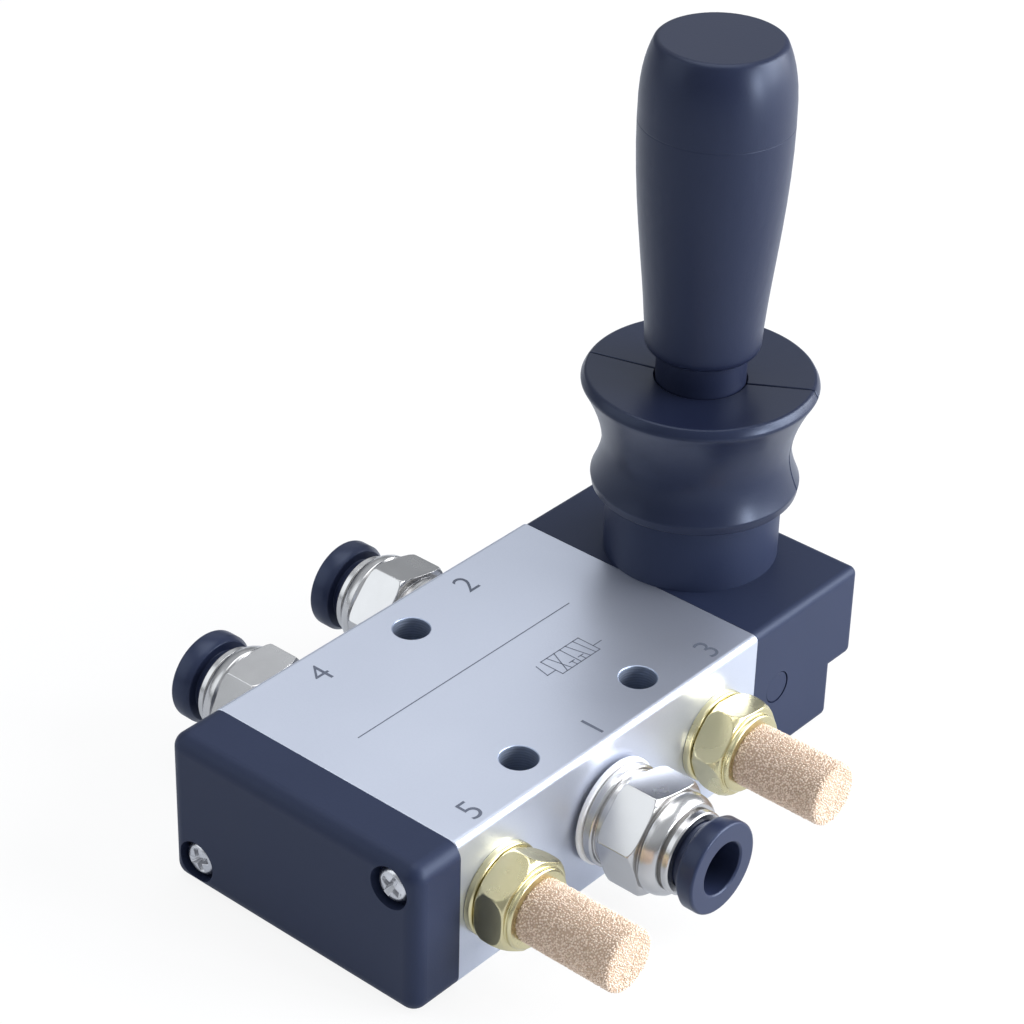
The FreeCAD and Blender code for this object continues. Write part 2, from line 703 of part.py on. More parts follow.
# Spool: turned aluminium, with two journals, four lands that carry seals, two notches for the
# detent and a flat tang with the hole for the lever's tip.
def spool():
    bar = new_body("spool_body")
    land = "bore_diameter/2 - spool_gap"
    waist = "waist_diameter/2"
    groove = f"{land} - seal_section"
    notch = "journal_diameter/2 - notch_depth"
    journal = "journal_diameter/2"
    corners = [
        ("0", f"-{BODY_END} - journal_end - port_shift"),
        (journal, f"-{BODY_END} - journal_end - port_shift"),
        (journal, f"-{JOURNAL_START}"),
        (waist, f"-{JOURNAL_START}"),
    ]
    lands = (f"-{OUTER_LAND}", f"-{INNER_LAND}", INNER_LAND, OUTER_LAND)
    for middle in lands:
        corners += [
            (waist, f"{middle} - land_width/2"),
            (land, f"{middle} - land_width/2"),
            (land, f"{middle} - seal_section/2"),
            (groove, f"{middle} - seal_section/2"),
            (groove, f"{middle} + seal_section/2"),
            (land, f"{middle} + seal_section/2"),
            (land, f"{middle} + land_width/2"),
            (waist, f"{middle} + land_width/2"),
        ]
    corners += [(waist, JOURNAL_START), (journal, JOURNAL_START)]
    detent = f"{DETENT_X} - port_shift"
    for side in ("-", "+"):
        middle = f"{detent} {side} {STROKE}"
        corners += [
            (journal, f"{middle} - notch_depth*2"),
            (notch, middle),
            (journal, f"{middle} + notch_depth*2"),
        ]
    corners += [(journal, f"{TANG_END} - port_shift"), ("0", f"{TANG_END} - port_shift")]
    revolve(bar, "spool_turned", corners)
    put(bar, ("port_shift", "0", BORE_Z), (0, 1, 0), "90")
    length = f"{TANG_END} + 1 - {TANG_START}"
    tools = []
    for side in (0, 1):
        z = f"{BORE_Z} + tang_height/2" if side else f"{BORE_Z} - tang_height/2 - journal_diameter"
        tools.append(box("tang_flat", length, "2*journal_diameter", "journal_diameter",
                         (TANG_START, "-journal_diameter", z)))
    tools.append(rod("tip_hole", "tip_diameter/2 + tip_gap", "2*journal_diameter",
                     (LEVER_X, "0", f"{BORE_Z} - journal_diameter")))
    keep("spool", cut("spool", bar, fuse("tang_tools", *tools)))
    rings = []
    for middle in lands:
        rings.append(seal("spool_ring", f"{land} - seal_section/2 + spool_gap*0.4", "seal_section/2",
                          (f"port_shift + {middle}", "0", BORE_Z), (0, 1, 0), "90"))
    keep("spool_seals", group("spool_seals", *rings))
    rings = []
    for side in (-1, 1):
        place = f"{side}*({BODY_END} - end_seal_section/2 - 0.05)"
        rings.append(seal("end_ring", f"{journal} + end_seal_gap + end_seal_section/2", "end_seal_section/2",
                          (place, "0", BORE_Z), (0, 1, 0), "90"))
    keep("spool_end_seals", group("spool_end_seals", *rings))


# Detent: a steel ball pressed against the spool's notches by a coil spring behind a plug.
def detent():
    centre = "journal_diameter/2 + detent_gap + detent_ball/2"
    keep("detent_ball", ball("detent_ball", "detent_ball/2", (DETENT_X, f"-({centre})", BORE_Z)))
    plug = new_body("plug_body")
    corners = [
        ("0", "0"),
        ("detent_ball/2", "0"),
        ("detent_ball/2", "plug_length*0.3"),
        ("plug_diameter/2 - close_gap", "plug_length*0.3"),
        ("plug_diameter/2 - close_gap", "plug_length*0.94"),
        ("plug_diameter/2 - plug_length*0.04", "plug_length*0.98"),
        ("0", "plug_length*0.98"),
    ]
    revolve(plug, "plug_turned", corners)
    put(plug, (DETENT_X, f"-{HOUSING_WIDTH}/2 + plug_length", BORE_Z), (1, 0, 0), "90")
    keep("detent_plug", plug)
    spring_length = f"{HOUSING_WIDTH}/2 - plug_length - ({centre}) - detent_ball/2 - 0.1"
    coil = bind(doc.addObject("Part::Helix", "spring_path"), Pitch="spring_pitch",
                Height=f"{spring_length} - spring_wire", Radius="detent_ball/2 - spring_wire/2")
    wire = bind(doc.addObject("Part::RegularPolygon", "spring_section"), Circumradius="spring_wire/2")
    wire.Polygon = 8
    put(wire, ("detent_ball/2 - spring_wire/2", "0", "0"), (1, 0, 0), "90")
    spring = doc.addObject("Part::Sweep", "detent_spring")
    spring.Sections = [wire]
    spring.Spine = (coil, ["Edge1"])
    spring.Solid = True
    spring.Frenet = True
    put(spring, (DETENT_X, f"-({centre}) - detent_ball/2 - 0.05 - spring_wire/2", BORE_Z), (1, 0, 0), "90")
    keep("detent_spring", spring)


def hexagon(name, flats, start, height, turn, small, reach):
    """A hexagon on its Z axis, its corners rounded off towards both ends down to a small radius."""
    large = f"{flats}/sqrt(3)"
    prism = bind(doc.addObject("Part::Prism", f"{name}_prism"), Circumradius=large, Height=height)
    prism.Polygon = 6
    put(prism, ("0", "0", start), (0, 0, 1), turn)
    disc = new_body(f"{name}_disc")
    end = f"{start} + {height}"
    corners = [("0", start)] + rounded(small, large, start, f"{start} + {reach}")
    corners += rounded(small, large, end, f"{end} - {reach}")[::-1] + [("0", end)]
    revolve(disc, f"{name}_disc_turned", corners)
    return common(f"{name}_hexagon", prism, disc)


# Push-in fittings for 6 mm tube: a plated body with a hexagon, a sealing washer, a tube seal,
# a gripping ring and the plastic ring that is pushed in to let the tube go.
def fitting(letter, x, side, turn, gap):
    def stand(thing):
        return put(thing, (x, f"{side}*({PORT_FACE} + {gap})", BORE_Z), (1, 0, 0), f"{-side}*90")

    tube = "tube_diameter/2"
    flange_end = "washer_thickness + fitting_collar"
    hex_end = f"{HEX_START} + fitting_hex"
    groove = "washer_thickness + tube_seat"
    groove_end = f"{groove} + tube_seal_section + 0.3"
    pocket_start = f"{groove_end} + 0.6"
    pocket_end = f"{pocket_start} + collet_length + 0.1"
    outer = new_body(f"fitting_{letter}_outer")
    corners = [
        ("0", "-thread_length"),
        ("thread_diameter/2 - 0.5", "-thread_length"),
        ("thread_diameter/2", "-thread_length + 0.5"),
        ("thread_diameter/2", "washer_thickness"),
        ("fitting_flange/2 - edge_break", "washer_thickness"),
        ("fitting_flange/2", "washer_thickness + edge_break"),
        ("fitting_flange/2", f"{flange_end} - edge_break"),
        ("fitting_flange/2 - edge_break", flange_end),
        ("fitting_flats/2*0.93", flange_end),
        ("fitting_flats/2*0.93", hex_end),
    ]
    corners += rounded("sleeve_diameter/2", "fitting_flats/2", SLEEVE_START, f"{hex_end} + 0.5")[::-1]
    corners += [
        ("sleeve_diameter/2 - 0.4", SLEEVE_START),
        ("sleeve_diameter/2 - 0.4", f"{SLEEVE_START} + 0.3"),
        ("sleeve_diameter/2", f"{SLEEVE_START} + 0.3"),
        ("sleeve_diameter/2", "sleeve_end - edge_break"),
        ("sleeve_diameter/2 - edge_break", "sleeve_end"),
        ("0", "sleeve_end"),
    ]
    revolve(outer, f"fitting_{letter}_turned", corners)
    inner = new_body(f"fitting_{letter}_inner")
    corners = [
        ("0", "-thread_length - 1"),
        (f"{tube}*0.65", "-thread_length - 1"),
        (f"{tube}*0.65", "washer_thickness"),
        (tube, "washer_thickness"),
        (tube, groove),
        (f"{tube} + tube_seal_section + 0.1", groove),
        (f"{tube} + tube_seal_section + 0.1", groove_end),
        (tube, groove_end),
        (tube, pocket_start),
        (f"{tube} + collet_wall + close_gap", pocket_start),
        (f"{tube} + collet_wall + close_gap", pocket_end),
        (f"{tube} + ring_wall + ring_gap", pocket_end),
        (f"{tube} + ring_wall + ring_gap", "sleeve_end + 1"),
        ("0", "sleeve_end + 1"),
    ]
    revolve(inner, f"fitting_{letter}_bore", corners)
    nut = hexagon(f"fitting_{letter}", "fitting_flats", HEX_START, "fitting_hex", turn,
                  "fitting_flats/2*0.97", "fitting_flats*0.06")
    solid = fuse(f"fitting_{letter}_solid", outer, nut)
    keep(f"fitting_body_{letter}", stand(cut(f"fitting_body_{letter}", solid, inner)))
    washer = new_body(f"fitting_washer_{letter}_body")
    corners = [
        ("thread_diameter/2 + close_gap", "0"),
        ("washer_diameter/2", "0"),
        ("washer_diameter/2", "washer_thickness*0.8"),
        ("washer_diameter/2 - washer_thickness*0.2", "washer_thickness"),
        ("thread_diameter/2 + close_gap", "washer_thickness"),
    ]
    revolve(washer, f"fitting_washer_{letter}_turned", corners)
    keep(f"fitting_washer_{letter}", stand(washer))
    rubber = seal(f"seal_ring_{letter}", f"{tube} + close_gap + tube_seal_section/2", "tube_seal_section/2",
                  ("0", "0", f"({groove} + {groove_end})/2"))
    keep(f"tube_seal_{letter}", stand(group(f"tube_seal_{letter}", rubber)))
    gripper = new_body(f"collet_{letter}_body")
    corners = [
        (tube, f"{pocket_start} + 0.1"),
        (f"{tube} + collet_wall", f"{pocket_start} + 0.1"),
        (f"{tube} + collet_wall", f"{pocket_start} + 0.7"),
        (f"{tube} + collet_wall*0.5", f"{pocket_start} + collet_length"),
        (tube, f"{pocket_start} + collet_length"),
    ]
    revolve(gripper, f"collet_{letter}_turned", corners)
    keep(f"collet_{letter}", stand(gripper))
    release = new_body(f"release_ring_{letter}_body")
    tail = f"{pocket_end} + ring_travel + 0.2"
    corners = [
        (tube, tail),
        (f"{tube} + ring_wall", tail),
        (f"{tube} + ring_wall", RING_BACK),
    ]
    corners += rounded("ring_diameter/2 - ring_back_round", "ring_diameter/2", RING_BACK,
                       f"{RING_BACK} + ring_back_round")
    corners += rounded("ring_diameter/2 - ring_round", "ring_diameter/2", RING_FRONT,
                       f"{RING_FRONT} - ring_round")[::-1]
    corners += [
        (f"{tube} + 0.4", RING_FRONT),
        (tube, f"{RING_FRONT} - 0.4"),
    ]
    revolve(release, f"release_ring_{letter}_turned", corners)
    keep(f"release_ring_{letter}", stand(release))


# Silencers: a brass hexagon with a thread, and the sintered bronze cup pressed into its collar.
def silencer(letter, x, turn):
    def stand(thing):
        return put(thing, (x, f"-{PORT_FACE}", BORE_Z), (1, 0, 0), "90")

    collar_end = "nut_hex + nut_collar"
    spigot = "(element_diameter/2 - 0.4)"
    outer = new_body(f"silencer_{letter}_outer")
    corners = [
        ("0", "-thread_length"),
        ("thread_diameter/2 - 0.5", "-thread_length"),
        ("thread_diameter/2", "-thread_length + 0.5"),
        ("thread_diameter/2", "0"),
        ("nut_foot_diameter/2", "0"),
        ("nut_foot_diameter/2", "nut_foot - edge_break"),
        ("nut_foot_diameter/2 - edge_break", "nut_foot"),
        ("nut_collar_diameter/2 - edge_break/2", "nut_foot"),
        ("nut_collar_diameter/2 - edge_break/2", "nut_hex"),
        ("nut_collar_diameter/2", "nut_hex"),
        ("nut_collar_diameter/2", f"{collar_end} - edge_break"),
        ("nut_collar_diameter/2 - edge_break", collar_end),
        ("0", collar_end),
    ]
    revolve(outer, f"silencer_{letter}_turned", corners)
    inner = new_body(f"silencer_{letter}_inner")
    corners = [
        ("0", "-thread_length - 1"),
        ("element_diameter/2 - element_wall", "-thread_length - 1"),
        ("element_diameter/2 - element_wall", "nut_hex*0.8"),
        (f"{spigot} + close_gap", "nut_hex*0.8"),
        (f"{spigot} + close_gap", f"{collar_end} + 1"),
        ("0", f"{collar_end} + 1"),
    ]
    revolve(inner, f"silencer_{letter}_bore", corners)
    nut = hexagon(f"silencer_{letter}", "nut_flats", "nut_foot", "(nut_hex - nut_foot)", turn,
                  "nut_flats/2*0.96", "nut_hex*0.36")
    solid = fuse(f"silencer_{letter}_solid", outer, nut)
    keep(f"silencer_nut_{letter}", stand(cut(f"silencer_nut_{letter}", solid, inner)))
    element = new_body(f"silencer_element_{letter}_body")
    corners = [
        ("element_diameter/2 - element_wall", "nut_hex*0.8"),
        (spigot, "nut_hex*0.8"),
        (spigot, collar_end),
        ("element_diameter/2", collar_end),
    ]
    corners += rounded("element_diameter/2 - element_round", "element_diameter/2", "element_reach",
                       "element_reach - element_round")[::-1]
    corners += [
        ("0", "element_reach"),
        ("0", "element_reach - element_wall"),
        ("element_diameter/2 - element_wall", "element_reach - element_wall"),
    ]
    revolve(element, f"silencer_element_{letter}_turned", corners)
    keep(f"silencer_element_{letter}", stand(element))


valve_body()
end_cap()
screws()
lever_housing()
pivot()
lever_rod()
grip()
collar_half("collar_front_half", -1)
collar_half("collar_rear_half", 1)
spool()
detent()
fitting("a", f"port_shift - {OUTLET}", 1, "outlet_turn", "outlet_stand")
fitting("b", f"port_shift + {OUTLET}", 1, "second_turn", "second_stand")
fitting("p", "port_shift", -1, "inlet_turn", "inlet_stand")
silencer("r", f"port_shift - 2*{PITCH}", "nut_turn")
silencer("s", f"port_shift + 2*{PITCH}", "second_nut_turn")

doc.recompute()
for thing in doc.Objects:
    if "Invalid" in thing.State or "Error" in thing.State:
        raise RuntimeError(f"{thing.Name} ({thing.Label}) failed: {thing.State}")
for thing in SUBPARTS:
    if thing.Shape.isNull() or not thing.Shape.isValid() or not thing.Shape.Solids:
        raise RuntimeError(f"{thing.Label} has no valid solid")
for thing in SUBPARTS:
    thing.Shape.exportStep(f"parts/{thing.Label}.step")
    box_of = thing.Shape.BoundBox
    print(f"{thing.Label}: {len(thing.Shape.Solids)} solid, {thing.Shape.Volume:.2f} mm3, "
          f"{box_of.XLength:.2f} x {box_of.YLength:.2f} x {box_of.ZLength:.2f}")
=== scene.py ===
import math
import bmesh
import bpy
from mathutils import Matrix, Vector


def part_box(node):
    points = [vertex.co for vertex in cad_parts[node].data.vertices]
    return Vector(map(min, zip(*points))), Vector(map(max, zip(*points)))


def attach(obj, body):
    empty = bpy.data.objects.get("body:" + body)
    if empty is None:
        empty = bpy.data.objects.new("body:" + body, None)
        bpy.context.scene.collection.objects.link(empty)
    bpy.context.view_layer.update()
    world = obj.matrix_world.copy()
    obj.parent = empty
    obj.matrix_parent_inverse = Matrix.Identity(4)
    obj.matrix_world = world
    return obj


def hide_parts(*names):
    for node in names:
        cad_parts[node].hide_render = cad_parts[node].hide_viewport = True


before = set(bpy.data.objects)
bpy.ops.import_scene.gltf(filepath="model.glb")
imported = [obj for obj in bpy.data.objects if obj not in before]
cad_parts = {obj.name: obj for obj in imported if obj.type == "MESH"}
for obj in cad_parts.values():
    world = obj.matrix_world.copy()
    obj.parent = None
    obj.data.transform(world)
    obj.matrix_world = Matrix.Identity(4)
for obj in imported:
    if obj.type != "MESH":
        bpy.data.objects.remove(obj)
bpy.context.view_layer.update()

# Stand: a seamless pale table under six soft lamps, with the valve seen from the end cap's
# side, a little above. Sizes in this file are millimetres until a mesh is made.
MM = 0.001
scene = bpy.context.scene
scene.view_settings.view_transform = "Standard"

camera = bpy.data.objects.new("photo_camera", bpy.data.cameras.new("photo_camera"))
scene.collection.objects.link(camera)
camera.data.lens = 112.11
camera.data.sensor_width = 36
camera.data.clip_start = 0.01
camera_place = (-217.656, -186.066, 222.397)
right, up, back = (0.6562, -0.7543, 0.0227), (0.3932, 0.3674, 0.8429), (-0.6441, -0.5441, 0.5376)
camera.matrix_world = (Matrix.Translation(Vector(camera_place) * MM)
                       @ Matrix((right, up, back)).transposed().to_4x4())
scene.camera = camera


class Wire:
    """One output in a finish's node tree. Sums on wires and numbers add Math nodes."""

    def __init__(self, tree, socket=None):
        self.tree = tree
        self.socket = socket

    def node(self, kind, settings=None, inputs=None, out=0):
        """Add a node: its settings first, a ramp's stops among them, then its sockets."""
        made = self.tree.nodes.new(kind)
        for name, setting in (settings or {}).items():
            if name == "stops":
                ramp = made.color_ramp.elements
                while len(ramp) < len(setting):
                    ramp.new(0.5)
                for element, (place, tint) in zip(ramp, setting):
                    element.position = place
                    element.color = (*tint, 1)
            else:
                setattr(made, name, setting)
        for key, value in (inputs or {}).items():
            if isinstance(value, (Wire, list)):
                for wire in value if isinstance(value, list) else [value]:
                    self.tree.links.new(wire.socket, made.inputs[key])
            else:
                made.inputs[key].default_value = value
        return Wire(self.tree, made.outputs[out] if made.outputs else None)

    def _sum(self, operation, first, second):
        return self.node("ShaderNodeMath", {"operation": operation}, {0: first, 1: second})

    def __add__(self, other):
        return self._sum("ADD", self, other)

    def __radd__(self, other):
        return self._sum("ADD", other, self)

    def __sub__(self, other):
        return self._sum("SUBTRACT", self, other)

    def __rsub__(self, other):
        return self._sum("SUBTRACT", other, self)

    def __mul__(self, other):
        return self._sum("MULTIPLY", self, other)

    def __rmul__(self, other):
        return self._sum("MULTIPLY", other, self)

    def tint(self, dark, light):
        """Mix two colours by this wire."""
        return self.node("ShaderNodeMix", {"data_type": "RGBA"},
                         {0: self, 6: (*dark, 1), 7: (*light, 1)}, out=2)


def new_finish(name):
    """A new material with an empty tree, and a wire to start its nodes from."""
    material = bpy.data.materials.new(name)
    material.use_nodes = True
    material.node_tree.nodes.clear()
    return material, Wire(material.node_tree)


paper, start = new_finish("table_paper")
seen = start.node("ShaderNodeLightPath", out="Is Camera Ray")
glossy = start.node("ShaderNodeLightPath", out="Is Glossy Ray")
flat = start.node("ShaderNodeBsdfDiffuse", {}, {"Color": (0.9, 0.9, 0.9, 1)})
bright = start.node("ShaderNodeEmission", {}, {"Color": (1, 1, 1, 1), "Strength": 1.0})
lifted = start.node("ShaderNodeMixShader", {}, {0: seen * 0.88, 1: flat, 2: bright})
mirrored = start.node("ShaderNodeEmission", {}, {"Color": (0.8, 0.87, 1.0, 1), "Strength": 0.8})
lifted = start.node("ShaderNodeMixShader", {}, {0: glossy * 0.6, 1: lifted, 2: mirrored})
start.node("ShaderNodeOutputMaterial", {}, {"Surface": lifted})

half_table, under = 3000, 0.02
sheet = [(x * half_table * MM, y * half_table * MM, -under * MM)
         for x, y in ((-1, -1), (1, -1), (1, 1), (-1, 1))]
table = bpy.data.meshes.new("table_top")
table.from_pydata(sheet, [], [(0, 1, 2, 3)])
table.materials.append(paper)
table_top = bpy.data.objects.new("table_top", table)
scene.collection.objects.link(table_top)

world = bpy.data.worlds.new("studio")
world.use_nodes = True
world.node_tree.nodes.clear()
start = Wire(world.node_tree)
seen = start.node("ShaderNodeLightPath", out="Is Camera Ray")
glossy = start.node("ShaderNodeLightPath", out="Is Glossy Ray")
way = start.node("ShaderNodeTexCoord", out="Generated")
rise = start.node("ShaderNodeSeparateXYZ", {}, {"Vector": way}, out="Z")
rise = start.node("ShaderNodeMapRange", {"interpolation_type": "SMOOTHSTEP"},
                  {"Value": rise, "From Min": 0.0, "From Max": 0.6})
level = 0.4 + seen * 0.6 + glossy * (rise * 0.4 - 0.15)
room = start.node("ShaderNodeBackground", {}, {"Color": (0.88, 0.93, 1.0, 1), "Strength": level})
start.node("ShaderNodeOutputWorld", {}, {"Surface": room})
scene.world = world


def lamp(name, place, aim, size, watts, tint):
    """A soft oblong lamp that stands at a place and shines towards another."""
    light = bpy.data.lights.new(name, "AREA")
    light.shape = "RECTANGLE"
    light.size, light.size_y = [side * MM for side in size]
    light.energy = watts
    light.color = tint
    made = bpy.data.objects.new(name, light)
    scene.collection.objects.link(made)
    beam = (Vector(place) - Vector(aim)) * MM
    made.matrix_world = (Matrix.Translation(Vector(place) * MM)
                         @ beam.to_track_quat("Z", "Y").to_matrix().to_4x4())


lamp("window_right", (330, -420, 260), (10, 0, 25), (320, 420), watts=4.7, tint=(0.93, 0.96, 1.0))
lamp("softbox_front", (80, -430, 118), (35, 0, 35), (70, 120), watts=1.0, tint=(0.93, 0.96, 1.0))
lamp("window_left", (-330, 300, 260), (0, 0, 25), (420, 420), watts=0.6, tint=(0.9, 0.95, 1.0))
lamp("ceiling", (60, 60, 560), (0, 0, 20), (420, 420), watts=1.4, tint=(0.95, 0.97, 1.0))
lamp("window_back", (340, 290, 300), (0, 0, 20), (300, 220), watts=0.06, tint=(0.93, 0.96, 1.0))
lamp("strip_right", (460, -200, 190), (10, 0, 40), (160, 320), watts=1.1, tint=(0.94, 0.96, 1.0))


# Aluminium body: an extruded bar, machined and bead blasted, then clear anodised, so it is
# pale, even and satin, with bright lines where its edges and holes are broken.
def new_coat(name):
    """A new finish, and the place on its piece as a wire."""
    material, start = new_finish(name)
    return material, start.node("ShaderNodeTexCoord", out="Object")


def mottled(place, scale, detail=2.0, **more):
    """Random blotches from 0 to 1, which a higher scale makes finer."""
    return place.node("ShaderNodeTexNoise", {},
                      {"Vector": place, "Scale": scale, "Detail": detail, **more})


def tool_marks(place, axis, scale, wobble, **more):
    """Fine marks that a turning tool or a drill leaves across an axis, from 0 to 1."""
    return place.node("ShaderNodeTexWave", {"wave_type": "BANDS", "bands_direction": axis},
                      {"Vector": place, "Scale": scale, "Distortion": wobble, **more})


def coat_with(place, colour, roughness, metal=0.0, height=None, relief=0.0, **fixed):
    """Close a finish: one Principled shader, bumped by a height in parts of a millimetre."""
    inputs = {"Base Color": colour, "Roughness": roughness, "Metallic": metal}
    if height is not None:
        inputs["Normal"] = place.node("ShaderNodeBump", {}, {"Strength": 1.0, "Distance": relief * MM,
                                                             "Height": height})
    for name, value in fixed.items():
        inputs[name.replace("_", " ")] = value
    surface = place.node("ShaderNodeBsdfPrincipled", {}, inputs)
    place.node("ShaderNodeOutputMaterial", {}, {"Surface": surface})


def merged(node):
    """A copy of a CAD node's mesh with its corners joined and its flat faces whole."""
    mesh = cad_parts[node].data.copy()
    mesh.materials.clear()
    work = bmesh.new()
    work.from_mesh(mesh)
    bmesh.ops.remove_doubles(work, verts=work.verts, dist=2e-6)
    bmesh.ops.dissolve_degenerate(work, dist=1e-6, edges=work.edges)
    bmesh.ops.dissolve_limit(work, angle_limit=math.radians(0.4), verts=work.verts, edges=work.edges)
    for face in work.faces:
        face.smooth = True
        face.material_index = 0
    work.to_mesh(mesh)
    work.free()
    normals = mesh.attributes.get("custom_normal")
    if normals:
        mesh.attributes.remove(normals)
    return mesh


def placed(name, mesh):
    """A new object that shows a mesh where it is."""
    made = bpy.data.objects.new(name, mesh)
    scene.collection.objects.link(made)
    return made


def plain_mesh(made):
    """An object's shape, with its modifiers worked out once, as a mesh by itself."""
    bpy.context.view_layer.update()
    return bpy.data.meshes.new_from_object(made.evaluated_get(bpy.context.evaluated_depsgraph_get()))


def settled(made):
    """Keep what an object's modifiers make as its plain mesh."""
    final = plain_mesh(made)
    made.modifiers.clear()
    made.data = final
    return made


def rounded_along(mesh, radius, chosen):
    """Round a mesh's straight edges that a test on their two ends picks."""
    work = bmesh.new()
    work.from_mesh(mesh)
    edges = [edge for edge in work.edges if chosen(*[corner.co / MM for corner in edge.verts])]
    bmesh.ops.bevel(work, geom=edges, offset=radius * MM, segments=5, profile=0.5, affect="EDGES",
                    clamp_overlap=False)
    for face in work.faces:
        face.smooth = True
    work.to_mesh(mesh)
    work.free()
    return mesh


def soften(made, broken, corner=35):
    """Break an object's corners that are sharper than an angle, and shade the rest smooth."""
    made.data.set_sharp_from_angle(angle=math.radians(corner))
    bevel = made.modifiers.new("broken_corners", "BEVEL")
    bevel.width = broken * MM
    bevel.segments = 2
    bevel.limit_method = "ANGLE"
    bevel.angle_limit = math.radians(corner)
    bevel.use_clamp_overlap = False
    bevel.miter_outer = "MITER_ARC"
    shade = made.modifiers.new("even_shading", "WEIGHTED_NORMAL")
    shade.keep_sharp = True
    shade.weight = 60
    return settled(made)


def stands_for(made, body, slot, finish, *nodes):
    """Give a piece its finish and body, and let it stand for CAD nodes."""
    made.data.materials.clear()
    made.data.materials.append(finish)
    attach(made, body)
    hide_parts(*nodes)
    return made


blasted, place = new_coat("blasted_aluminium")
beads = mottled(place, 4200.0, 3.0, Roughness=0.6)
cloud = mottled(place, 60.0)
coat_with(place, (cloud * 0.5 + beads * 0.5).tint(dark=(0.55, 0.58, 0.67), light=(0.625, 0.655, 0.74)),
          0.31 + cloud * 0.08, metal=0.82, height=beads, relief=0.012)

# Bore walls of the three holes: a darker colour as painted shade inside the holes; the drill marks in its
# bands, bump and roughness are real.
shaded_bore, place = new_coat("drilled_aluminium")
feed = tool_marks(place, "Z", 900.0, 0.6, Detail=1.0)
coat_with(place, feed.tint(dark=(0.3, 0.35, 0.45), light=(0.4, 0.45, 0.56)),
          0.45 + feed * 0.1, metal=0.9, height=feed, relief=0.01)

long_edge, bar_edge, same, upright = 0.9, 0.12, 0.01, 0.97
holes, hole_reach = [Vector((0.0, 12.1)), Vector((-10.0, -12.5)), Vector((10.0, -12.5))], 2.3
half_width, height = [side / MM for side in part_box("valve_body")[1][1:]]


def along_bar(*ends):
    """True for the bar's four long edges, where its sides meet its top and its foot."""
    return all(abs(abs(end.y) - half_width) < same and min(abs(end.z), abs(end.z - height)) < same
               for end in ends)


bar = placed("valve_body_bar", rounded_along(merged("valve_body"), long_edge, along_bar))
stands_for(soften(bar, bar_edge), "valve", "body_aluminium", blasted, "valve_body")
# Faces upright within reach of a hole's axis take the painted shade of the bores.
bar.data.materials.append(shaded_bore)
for face in bar.data.polygons:
    spot = Vector(face.center.xy) / MM
    if abs(face.normal.z) < upright and any((spot - hole).length < hole_reach for hole in holes):
        face.material_index = 1


# Marks on the body's top: shallow laser marks, grey in the anodised skin. Plain numbers stand at
# the five ports, with a thin ruled line and the standard sign of a five port, two place valve.
marks_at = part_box("valve_body")[1][2] + 0.012 * MM


def marked(name, mesh):
    """A thin mark lying on the body's top."""
    mesh.materials.clear()
    mesh.materials.append(mark)
    made = placed(name, mesh)
    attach(made, "valve")


def numeral(text, x, y, tall=4.5, thinner=0.03):
    """A numeral as a flat mesh, read from the inlet side."""
    curve = bpy.data.curves.new(f"numeral_{text}", "FONT")
    curve.body = text
    curve.align_x, curve.align_y = "CENTER", "CENTER"
    curve.size = tall * MM
    curve.offset = -thinner * MM
    curve.resolution_u = 6
    drawn = placed(curve.name, curve)
    mesh = plain_mesh(drawn)
    bpy.data.objects.remove(drawn)
    mesh.transform(Matrix.Translation((x * MM, y * MM, marks_at)))
    marked(f"port_number_{text}", mesh)


def strokes(name, width, runs):
    """Straight strokes of one width, each from point to point."""
    corners, faces = [], []
    for first, last in runs:
        along = (Vector(last) - Vector(first)).normalized() * width / 2
        side = Vector((-along.y, along.x))
        near, far = Vector(first) - along, Vector(last) + along
        faces.append([len(corners) + i for i in range(4)])
        corners += [near - side, far - side, far + side, near + side]
    mesh = bpy.data.meshes.new(name)
    mesh.from_pydata([(corner.x * MM, corner.y * MM, marks_at) for corner in corners], [], faces)
    marked(name, mesh)


mark, place = new_coat("laser_mark")
speck = mottled(place, 5200.0)
coat_with(place, speck.tint(dark=(0.06, 0.07, 0.1), light=(0.14, 0.155, 0.2)), 0.5 + speck * 0.2, metal=0.3)

for text, x, y in (("4", -13.2, 13.4), ("2", 10.8, 13.4),
                   ("5", -20.2, -14.8), ("1", -0.4, -14.8), ("3", 19.4, -14.9)):
    numeral(text, x, y)
strokes("ruled_line", 0.14, [((-18.9, 2.4), (15.9, 2.4))])

left, low, cell = 4.9, -6.0, 3.2
stop, half_stop, arm, arm_long, lever_top = 0.8, 0.4, 1.0, 1.4, 3.0
end = left + 2 * cell
sign = [((left, low), (end, low)), ((left, low + cell), (end, low + cell))]
sign += [((left + step * cell, low), (left + step * cell, low + cell)) for step in range(3)]
for step, ways, shut in ((0, ((0.25, 0.7), (0.5, 0.3)), 0.78), (1, ((0.5, 0.3), (0.78, 0.7)), 0.25)):
    x = left + step * cell
    sign += [((x + foot * cell, low), (x + tip * cell, low + cell)) for foot, tip in ways]
    closed = x + shut * cell
    sign += [((closed, low), (closed, low + stop)),
             ((closed - half_stop, low + stop), (closed + half_stop, low + stop))]
sign += [((left - arm_long, low + arm), (left, low + arm)),
         ((left - arm_long, low + arm), (left - arm, low + lever_top)),
         ((end, low + arm), (end + arm_long, low + arm))]
strokes("flow_sign", 0.13, sign)


# End cap, lever housing, the round plug in its side and the pivot's cap: injection moulded in
# dark navy nylon with a fine spark eroded skin. The cap and housing close the body's two ends.
cool = (0.68, 0.78, 1.0, 1.0)
moulded, place = new_coat("moulded_nylon")
grain = mottled(place, 5600.0, Roughness=0.6)
flow = mottled(place, 90.0, 3.0)
coat_with(place, (flow * 0.6 + grain * 0.4).tint(dark=(0.011, 0.016, 0.038), light=(0.018, 0.024, 0.054)),
          0.42 + flow * 0.12, height=grain, relief=0.01, Specular_IOR_Level=0.3, Specular_Tint=cool)


